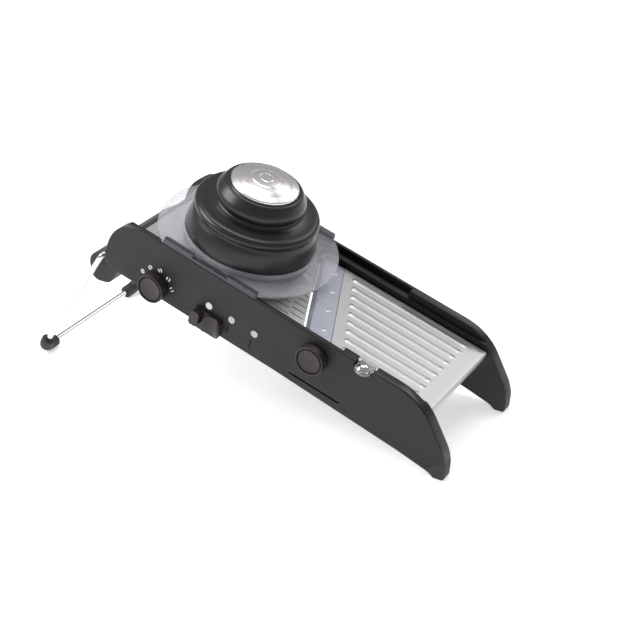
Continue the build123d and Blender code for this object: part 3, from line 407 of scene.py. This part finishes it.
def fastener_tree(name, cross_slot):
    """Heads on points: a low dome, with a cross cut in it where the tool goes."""
    tree = bpy.data.node_groups.new(name, "GeometryNodeTree")
    sockets = {}
    for label, kind, value in (("Geometry", "NodeSocketGeometry", None),
                               ("Radius", "NodeSocketFloat", 0.0028),
                               ("Height", "NodeSocketFloat", 0.0012),
                               ("Finish", "NodeSocketMaterial", None)):
        made = tree.interface.new_socket(name=label, in_out="INPUT", socket_type=kind)
        if value is not None:
            made.default_value = value
        sockets[label] = made.identifier
    tree.interface.new_socket(name="Geometry", in_out="OUTPUT", socket_type="NodeSocketGeometry")
    entry = add(tree, "NodeGroupInput")
    points = add(tree, "GeometryNodeMeshToPoints", {"mode": "VERTICES"},
                 links={"Mesh": entry.outputs["Geometry"]})
    ball = add(tree, "GeometryNodeMeshUVSphere", values={"Segments": 28, "Rings": 14, "Radius": 1.0})
    size = add(tree, "ShaderNodeCombineXYZ", links={
        "X": entry.outputs["Radius"], "Y": entry.outputs["Radius"], "Z": entry.outputs["Height"]})
    dome = add(tree, "GeometryNodeTransform", links={"Geometry": ball.outputs["Mesh"],
                                                     "Scale": size.outputs[0]})
    head = dome.outputs[0]
    if cross_slot:
        bars = []
        for turn in (0.0, pi / 2):
            long_side = add(tree, "ShaderNodeMath", {"operation": "MULTIPLY"}, {1: 1.25},
                            {0: entry.outputs["Radius"]})
            short_side = add(tree, "ShaderNodeMath", {"operation": "MULTIPLY"}, {1: 0.28},
                             {0: entry.outputs["Radius"]})
            bar_size = add(tree, "ShaderNodeCombineXYZ", links={
                "X": long_side.outputs[0], "Y": short_side.outputs[0], "Z": entry.outputs["Height"]})
            lift = add(tree, "ShaderNodeCombineXYZ", links={"Z": entry.outputs["Height"]})
            bar = add(tree, "GeometryNodeMeshCube", links={"Size": bar_size.outputs[0]})
            bars.append(add(tree, "GeometryNodeTransform", values={"Rotation": (0.0, 0.0, turn)},
                            links={"Geometry": bar.outputs["Mesh"], "Translation": lift.outputs[0]}))
        cut = add(tree, "GeometryNodeMeshBoolean", {"operation": "DIFFERENCE", "solver": "EXACT"},
                  links={"Mesh 1": head})
        for bar in bars:
            tree.links.new(bar.outputs[0], cut.inputs["Mesh 2"])
        head = cut.outputs["Mesh"]
    facing = add(tree, "GeometryNodeInputNamedAttribute", {"data_type": "FLOAT_VECTOR"}, {"Name": "facing"})
    turn = add(tree, "FunctionNodeAlignRotationToVector", {"axis": "Z"},
               links={"Vector": facing.outputs["Attribute"]})
    spread = add(tree, "GeometryNodeInstanceOnPoints", links={
        "Points": points.outputs[0], "Instance": head, "Rotation": turn.outputs[0]})
    whole = add(tree, "GeometryNodeRealizeInstances", links={"Geometry": spread.outputs[0]})
    coat = add(tree, "GeometryNodeSetMaterial", links={"Geometry": whole.outputs[0],
                                                       "Material": entry.outputs["Finish"]})
    add(tree, "NodeGroupOutput", links={"Geometry": coat.outputs[0]})
    return tree, sockets


def from_tree(name, points, facings, tree, sockets, values):
    """Runs a tree on a cloud of points and returns the result as a plain mesh."""
    cloud = bpy.data.meshes.new(name + "_points")
    cloud.from_pydata([tuple(SLOPE @ Vector(point)) for point in points], [], [])
    facing = cloud.attributes.new("facing", "FLOAT_VECTOR", "POINT")
    facing.data.foreach_set("vector", [value for way in facings for value in way])
    carrier = bpy.data.objects.new(name + "_carrier", cloud)
    bpy.context.scene.collection.objects.link(carrier)
    modifier = carrier.modifiers.new("repeat", "NODES")
    modifier.node_group = tree
    for label, value in values.items():
        modifier[sockets[label]] = value
    bpy.context.view_layer.update()
    made = bpy.data.meshes.new_from_object(carrier.evaluated_get(bpy.context.evaluated_depsgraph_get()))
    carrier.modifiers.remove(modifier)
    bpy.data.objects.remove(carrier)
    shape = bmesh.new()
    shape.from_mesh(made)
    bmesh.ops.remove_doubles(shape, verts=shape.verts, dist=1e-7)
    return shape


class SLICER_OT_finishes(Operator):
    """Makes the materials"""
    bl_idname = "slicer.finishes"
    bl_label = "Finishes"

    def execute(self, context):
        make_finishes(context.scene.slicer_colours)
        return {"FINISHED"}


class SLICER_OT_rails(Operator):
    """Finishes the two rails: a textured panel inside a glossier rim"""
    bl_idname = "slicer.rails"
    bl_label = "Rails"

    def execute(self, context):
        edge = context.scene.slicer_sizes.edge
        for node in ("near_rail", "far_rail"):
            mesh = plain_mesh(cad_mesh(node), node + "_skin", edge * 0.5)
            place_piece(mesh, node + "_skin", [node], ["rim", "panel"])
            outer = max(abs((FROM_SLOPE @ corner).y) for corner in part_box(node))
            for face in mesh.polygons:
                at = FROM_SLOPE @ face.center
                flat = abs(face.normal.y) > 0.995
                if flat and abs(at.y) > outer - 0.2:
                    face.material_index = 1
        for node in ("near_liner", "far_liner"):
            finish_node(node, "rim", edge * 0.5)
        for node in ("near_foot", "far_foot"):
            finish_node(node, "rubber", edge * 0.5)
        finish_node("rear_crossbar", "grain", edge)
        return {"FINISHED"}


DECK_FRONT, DECK_HALF, DECK_LEVEL, SHEET = 33.0, 56.0, 52.0, 1.2
LIP_DEPTH, LIP_BEND = 7.0, 1.6
BLADE_SLANT, DECK_REAR = 0.46, 165.35
RIB_FRONT, RIB_REAR, RIB_SLANT, RIB_HALF = 49.5, 154.7, 0.486, 3.7
RIB_SWELL, FLANGE_LOW = 6.0, 44.0
DECK_COLUMNS, LIP_STEPS, FINE_STEP = 200, 6, 0.42


def rib_lift(s, v, sizes):
    """How far the pressed ribs lift the sheet at one place."""
    pitch, height, end = sizes.rib_pitch / MM, sizes.rib_height / MM, sizes.rib_end / MM
    number = max(0, min(sizes.rib_count - 1, round(v / pitch + (sizes.rib_count - 1) / 2)))
    middle = (number - (sizes.rib_count - 1) / 2) * pitch
    front, rear = RIB_FRONT + RIB_HALF, RIB_REAR - RIB_SLANT * middle - RIB_HALF
    along = max(0.0, front - s, s - rear)
    reach = sqrt(along ** 2 + (v - middle) ** 2) / RIB_HALF
    swell = max(0.0, 1 - max(0.0, min(s - front, rear - s)) / RIB_SWELL) ** 2
    return (height + end * swell) * (1 + cos(pi * reach)) / 2 if reach < 1 else 0.0


def ribbed_sheet(sizes):
    """The pressed deck: a lip bent down in front, and ribs that swell out of the sheet."""
    path = [(DECK_FRONT, DECK_LEVEL - LIP_DEPTH)]
    path += [(DECK_FRONT + LIP_BEND * (1 - cos(pi / 2 * step / LIP_STEPS)),
              DECK_LEVEL - LIP_BEND * (1 - sin(pi / 2 * step / LIP_STEPS))) for step in range(LIP_STEPS + 1)]
    marks = [DECK_FRONT + LIP_BEND + 2.3 * step for step in range(1, 6)]
    marks += [RIB_FRONT - 1.5 + FINE_STEP * step for step in range(30)]
    fractions = [step / 22 for step in range(1, 22)]
    tail = [26.0 - FINE_STEP * step for step in range(44)] + [5.0, 2.5, 0.0]
    shape = bmesh.new()
    rows = []
    for column in range(DECK_COLUMNS + 1):
        v = DECK_HALF * (2 * column / DECK_COLUMNS - 1)
        rear = DECK_REAR - BLADE_SLANT * v
        run = [(s, h) for s, h in path] + [(s, DECK_LEVEL) for s in marks]
        start, stop = marks[-1], rear - tail[0]
        run += [(start + (stop - start) * share, DECK_LEVEL) for share in fractions]
        run += [(rear - back, DECK_LEVEL) for back in tail]
        rows.append([shape.verts.new((s, v, h + (rib_lift(s, v, sizes) if h == DECK_LEVEL else 0.0)))
                     for s, h in run])
    for one, other in zip(rows, rows[1:]):
        for number in range(len(one) - 1):
            shape.faces.new((one[number], one[number + 1], other[number + 1], other[number]))
    shape.normal_update()
    shape.faces.ensure_lookup_table()
    if shape.faces[-1].normal.z < 0:
        bmesh.ops.reverse_faces(shape, faces=shape.faces)
    return slope_piece(shape)


def block(shape, s_range, v_range, h_range):
    """Adds a box in slope millimetres to a bmesh."""
    low = Vector((s_range[0], v_range[0], h_range[0]))
    high = Vector((s_range[1], v_range[1], h_range[1]))
    middle, size = (low + high) / 2, high - low
    bmesh.ops.create_cube(shape, size=1.0, matrix=Matrix.Translation(middle) @ Matrix.Diagonal((*size, 1.0)))


def thickened(mesh, thickness, name):
    carrier = bpy.data.objects.new(name + "_carrier", mesh)
    bpy.context.scene.collection.objects.link(carrier)
    wall = carrier.modifiers.new("wall", "SOLIDIFY")
    wall.thickness = thickness
    wall.offset = -1.0
    bpy.context.view_layer.update()
    made = bpy.data.meshes.new_from_object(carrier.evaluated_get(bpy.context.evaluated_depsgraph_get()))
    bpy.data.objects.remove(carrier)
    return made


class SLICER_OT_deck(Operator):
    """Shapes the ribbed deck: a pressed sheet whose ribs swell out of it"""
    bl_idname = "slicer.deck"
    bl_label = "Outlet deck"

    def execute(self, context):
        sizes = context.scene.slicer_sizes
        surface_mesh = plain_mesh(ribbed_sheet(sizes), "deck_surface")
        solid = thickened(surface_mesh, SHEET * MM, "deck")
        shape = bmesh.new()
        for side in (1, -1):
            rear = DECK_REAR - 8 - BLADE_SLANT * side * DECK_HALF
            v_range = sorted((side * DECK_HALF, side * (DECK_HALF - SHEET)))
            block(shape, (DECK_FRONT + 4, rear), v_range, (FLANGE_LOW, DECK_LEVEL - 0.1))
        slope_piece(shape)
        shape.from_mesh(solid)
        mesh = plain_mesh(shape, "outlet_deck_skin", sharp=42)
        place_piece(mesh, "outlet_deck_skin", ["outlet_deck"], "sheet")
        return {"FINISHED"}


class SLICER_OT_blade(Operator):
    """Finishes the blade, its bevel and the bar that carries it"""
    bl_idname = "slicer.blade"
    bl_label = "Blade"

    def execute(self, context):
        edge = context.scene.slicer_sizes.sheet_edge
        mesh = plain_mesh(cad_mesh("slicing_blade"), "slicing_blade_skin", 0.0)
        place_piece(mesh, "slicing_blade_skin", ["slicing_blade"], ["blade", "bevel"])
        for face in mesh.polygons:
            if 0.05 < abs(1 - face.normal.dot(OFF)) < 0.3:
                face.material_index = 1
        finish_node("blade_carrier", "rim", edge)
        return {"FINISHED"}


class SLICER_OT_platform(Operator):
    """Finishes the slotted inlet platform, its frame and the combs"""
    bl_idname = "slicer.platform"
    bl_label = "Inlet platform"

    def execute(self, context):
        sizes = context.scene.slicer_sizes
        mesh = plain_mesh(cad_mesh("inlet_platform"), "inlet_platform_skin")
        place_piece(mesh, "inlet_platform_skin", ["inlet_platform"], ["sheet", "slot_shade"])
        # faces of the slot walls inside the sheet take the dark finish: painted shade, so the slots read
        # dark
        for face in mesh.polygons:
            at = FROM_SLOPE @ face.center
            if abs(face.normal.dot(OFF)) < 0.3 and abs(at.y) < DECK_HALF - 3:
                face.material_index = 1
        finish_node("platform_frame", "rim", sizes.edge)
        for node in ("fine_comb_bar", "coarse_comb_bar"):
            finish_node(node, "rim", sizes.edge * 0.5)
        for node in ("fine_comb_teeth", "coarse_comb_teeth"):
            finish_node(node, "blade", sizes.sheet_edge * 0.5)
        finish_node("tie_rods", "bright", 0.0)
        finish_node("platform_pin", "bright", 0.0)
        return {"FINISHED"}


# Heads of the screws and rivets, in millimetres
HEAD_R, SCREW_RISE, RIVET_RISE = 2.75, 1.0, 0.5
SCREW_SEAT, RIVET_SEAT = 1.0, 0.8      # how far a head's base is sunk from the end of its shank


class SLICER_OT_fasteners(Operator):
    """Puts heads on the rivets and screws"""
    bl_idname = "slicer.fasteners"
    bl_label = "Rivets and screws"

    def execute(self, context):
        screw_tree, screw_sockets = fastener_tree("Screw heads", True)
        rivet_tree, rivet_sockets = fastener_tree("Rivet heads", False)
        for node, finish, across in (("liner_screws", "screw", True), ("deck_screws", "screw", True),
                                     ("carrier_screws", "screw", True), ("blade_rivets", "sheet", False)):
            places, facings = [], []
            for group in loose_parts(node):
                v_low, v_high = min(p.y for p in group), max(p.y for p in group)
                s_mid = (min(p.x for p in group) + max(p.x for p in group)) / 2
                h_low, h_high = min(p.z for p in group), max(p.z for p in group)
                if across:
                    side = 1 if v_low > 0 else -1
                    inward = node != "carrier_screws"
                    head_v = (v_low if side > 0 else v_high) if inward else (v_high if side > 0 else v_low)
                    face = head_v + (SCREW_SEAT if inward else -SCREW_SEAT) * side
                    places.append((s_mid, face, (h_low + h_high) / 2))
                    facings.append((0, side, 0) if inward else (0, -side, 0))
                else:
                    places.append((s_mid, (v_low + v_high) / 2, h_high - RIVET_SEAT))
                    facings.append(tuple(OFF))
            tree, sockets = (screw_tree, screw_sockets) if across else (rivet_tree, rivet_sockets)
            shape = from_tree(node, places, facings, tree, sockets, {
                "Radius": HEAD_R * MM, "Height": (SCREW_RISE if across else RIVET_RISE) * MM,
                "Finish": FINISHES[finish]})
            place_piece(plain_mesh(shape, node + "_heads"), node + "_heads", [node], finish)
        return {"FINISHED"}


GROOVE_R = 12.4     # outer wall of the groove round a knob's face, in millimetres; the walls inside it take the darker rim finish as painted shade


class SLICER_OT_controls(Operator):
    """Finishes the knobs, the thumb slider and what they drive"""
    bl_idname = "slicer.controls"
    bl_label = "Knobs and slider"

    def execute(self, context):
        edge = context.scene.slicer_sizes.edge
        for node in ("rear_knob", "front_knob", "rear_knob_face", "front_knob_face"):
            mesh = plain_mesh(cad_mesh(node), node + "_skin", 0.0, 40)
            place_piece(mesh, node + "_skin", [node], ["soft", "rim"])
            shaft = middle_of(node)
            # the walls of the groove round the knob's face take the darker rim finish: painted shade in the
            # groove
            for face in mesh.polygons:
                reach = face.center - shaft
                shaded_groove = sqrt(reach.x ** 2 + reach.z ** 2) < GROOVE_R * MM
                if shaded_groove and abs(face.normal.y) < 0.9:
                    face.material_index = 1
        finish_node("thumb_slider", "soft", edge * 1.6)
        finish_node("selector_bar", "rim", edge)
        for node in ("lift_cams", "lock_cam"):
            finish_node(node, "rim", edge)
        for node in ("lift_shaft", "lock_shaft"):
            finish_node(node, "bright", 0.0)
        return {"FINISHED"}


class SLICER_OT_marks(Operator):
    """Finishes the printed marks"""
    bl_idname = "slicer.marks"
    bl_label = "Marks"

    def execute(self, context):
        for node in ("knob_marks", "slider_marks"):
            finish_node(node, "white", 0.0)
        finish_node("stop_marks", "black", 0.0)
        return {"FINISHED"}


class SLICER_OT_catch(Operator):
    """Finishes the clear release tab and its steel stud"""
    bl_idname = "slicer.catch"
    bl_label = "Release catch"

    def execute(self, context):
        finish_node("release_tab", "clear", 0.0)
        finish_node("release_stud", "bright", 0.0)
        return {"FINISHED"}


class SLICER_OT_carriage(Operator):
    """Finishes the food carriage and its slide shoes"""
    bl_idname = "slicer.carriage"
    bl_label = "Food carriage"

    def execute(self, context):
        edge = context.scene.slicer_sizes.edge
        finish_node("food_carriage", "smoke", edge * 0.8)
        finish_node("near_runner", "shoe", edge)
        finish_node("far_runner", "shoe", edge)
        return {"FINISHED"}


CARRIAGE_S, CAP_R, CAP_CROWN_R = 270.0, 31.9, 30.2
CAP_RISE, CAP_SHOULDER, CAP_MARGIN = 5.0, 1.9, 0.35
RING_LINES, RING_HALF = (24.4, 22.6, 14.6, 13.4, 6.4), 0.55
CAP_STEPS, SHOULDER_STEPS = 151, 7


def cap_span():
    """Lowest and highest level of the cap, square off the slope."""
    levels = [(FROM_SLOPE @ vert.co).z for vert in frame["nodes"]["pusher_cap"].data.vertices]
    return min(levels), max(levels)


def cap_profile(height, engraving):
    """Outline of the cap from its crown out to the rim, with fine rings cut in it."""
    sphere = (CAP_CROWN_R ** 2 + CAP_RISE ** 2) / (2 * CAP_RISE)
    height -= CAP_MARGIN
    points = []
    for step in range(CAP_STEPS + 1):
        radius = CAP_CROWN_R * step / CAP_STEPS
        level = height - sphere + sqrt(sphere ** 2 - radius ** 2)
        for line in RING_LINES:
            gap = abs(radius - line)
            if gap < RING_HALF:
                level -= engraving * (1 - (gap / RING_HALF) ** 2)
        points.append((radius, level))
    edge = points[-1][1]
    for step in range(1, SHOULDER_STEPS + 1):
        angle = pi / 2 * step / SHOULDER_STEPS
        points.append((CAP_CROWN_R + (CAP_R - CAP_CROWN_R) * sin(angle),
                       edge - CAP_SHOULDER * (1 - cos(angle))))
    return points + [(CAP_R, 0.0), (0.0, 0.0)]


class SLICER_OT_pusher(Operator):
    """Finishes the pusher: its hat, cap, plunger and spikes"""
    bl_idname = "slicer.pusher"
    bl_label = "Pusher"

    def execute(self, context):
        finish_node("pusher_hat", "hat", 0.0, sharp=50)
        low, high = cap_span()
        shape = turned(cap_profile(high - low, context.scene.slicer_sizes.engraving / MM),
                       SLOPE @ Vector((CARRIAGE_S, 0, low)), OFF, 160)
        place_piece(plain_mesh(shape, "pusher_cap_skin", sharp=60), "pusher_cap_skin", ["pusher_cap"], "cap")
        finish_node("plunger", "hat", context.scene.slicer_sizes.edge)
        finish_node("plunger_spikes", "bright", 0.0)
        return {"FINISHED"}


class SLICER_OT_leg(Operator):
    """Finishes the folding wire leg and its rubber sleeves"""
    bl_idname = "slicer.leg"
    bl_label = "Wire leg"

    def execute(self, context):
        finish_node("leg_wire", "bright", 0.0, sharp=50)
        for node in ("near_elbow", "far_elbow"):
            finish_node(node, "grain", context.scene.slicer_sizes.edge, sharp=50)
        return {"FINISHED"}


def softbox(name, at, target, size, power):
    """A large soft light that faces a point."""
    lamp = bpy.data.lights.new(name, "AREA")
    lamp.shape = "RECTANGLE"
    lamp.size, lamp.size_y = size
    lamp.energy = power
    holder = bpy.data.objects.new(name, lamp)
    holder.location = at
    holder.rotation_euler = (Vector(target) - Vector(at)).to_track_quat("-Z", "Y").to_euler()
    bpy.context.scene.collection.objects.link(holder)
    return holder


class SLICER_OT_stage(Operator):
    """Sets the floor, the lights and the camera"""
    bl_idname = "slicer.stage"
    bl_label = "Stage"

    def execute(self, context):
        scene = context.scene
        stage = scene.slicer_stage
        half = stage.floor_size / 2
        ground = min(corner[2] for corner in cad_box)
        mesh = bpy.data.meshes.new("floor")
        mesh.from_pydata([(-half, -half, ground), (half, -half, ground), (half, half, ground),
                          (-half, half, ground)], [], [(0, 1, 2, 3)])
        floor = bpy.data.objects.new("floor", mesh)
        scene.collection.objects.link(floor)
        material, _, _ = surface("Paper, white seamless", scene.slicer_colours.floor, {
            "Roughness": 0.9, "Specular IOR Level": 0.1,
            "Emission Color": (1.0, 1.0, 1.0, 1.0), "Emission Strength": FLOOR_GLOW})
        mesh.materials.append(material)

        world = bpy.data.worlds.new("studio")
        scene.world = world
        world.use_nodes = True
        world.node_tree.nodes.clear()
        sky = add(world.node_tree, "ShaderNodeBackground",
                  values={"Color": (1.0, 1.0, 1.0, 1.0), "Strength": stage.fill})
        add(world.node_tree, "ShaderNodeOutputWorld", links={"Surface": sky.outputs[0]})

        for name, at, target, size, share in SOFTBOXES:
            softbox(name, at, target, size, stage.key_power * share)

        lens = bpy.data.cameras.new("camera")
        lens.sensor_width = SENSOR_MM
        lens.lens = LENS_MM
        lens.clip_start, lens.clip_end = 0.05, 30.0
        camera = bpy.data.objects.new("camera", lens)
        camera.location = TOE + Vector(CAMERA_FROM_TOE)
        camera.rotation_euler = Euler([radians(angle) for angle in CAMERA_TURN], "XYZ")
        scene.collection.objects.link(camera)
        scene.camera = camera
        scene.view_settings.view_transform = "Standard"
        return {"FINISHED"}


class SLICER_PT_panel(Panel):
    """The slicer's sizes, colours and steps"""
    bl_label = "Mandoline slicer"
    bl_idname = "SLICER_PT_panel"
    bl_space_type = "VIEW_3D"
    bl_region_type = "UI"
    bl_category = "Slicer"

    def draw(self, context):
        for group in (context.scene.slicer_sizes, context.scene.slicer_colours, context.scene.slicer_stage):
            for name in group.bl_rna.properties.keys():
                if name not in ("rna_type", "name"):
                    self.layout.prop(group, name)
        for step in STEPS:
            self.layout.operator(step.bl_idname)


STEPS = (
    SLICER_OT_finishes, SLICER_OT_rails, SLICER_OT_deck, SLICER_OT_blade, SLICER_OT_platform,
    SLICER_OT_fasteners, SLICER_OT_controls, SLICER_OT_marks, SLICER_OT_catch, SLICER_OT_carriage,
    SLICER_OT_pusher, SLICER_OT_leg, SLICER_OT_stage,
)
GROUPS = {"slicer_colours": SlicerColours, "slicer_sizes": SlicerSizes, "slicer_stage": SlicerStage}


def register():
    for name, group in GROUPS.items():
        bpy.utils.register_class(group)
        setattr(bpy.types.Scene, name, PointerProperty(type=group))
    for step in (*STEPS, SLICER_PT_panel):
        bpy.utils.register_class(step)


def unregister():
    for step in reversed((*STEPS, SLICER_PT_panel)):
        bpy.utils.unregister_class(step)
    for name, group in GROUPS.items():
        delattr(bpy.types.Scene, name)
        bpy.utils.unregister_class(group)


def main():
    register()
    for step in STEPS:
        family, action = step.bl_idname.split(".")
        getattr(getattr(bpy.ops, family), action)()


if __name__ == "__main__":
    main()
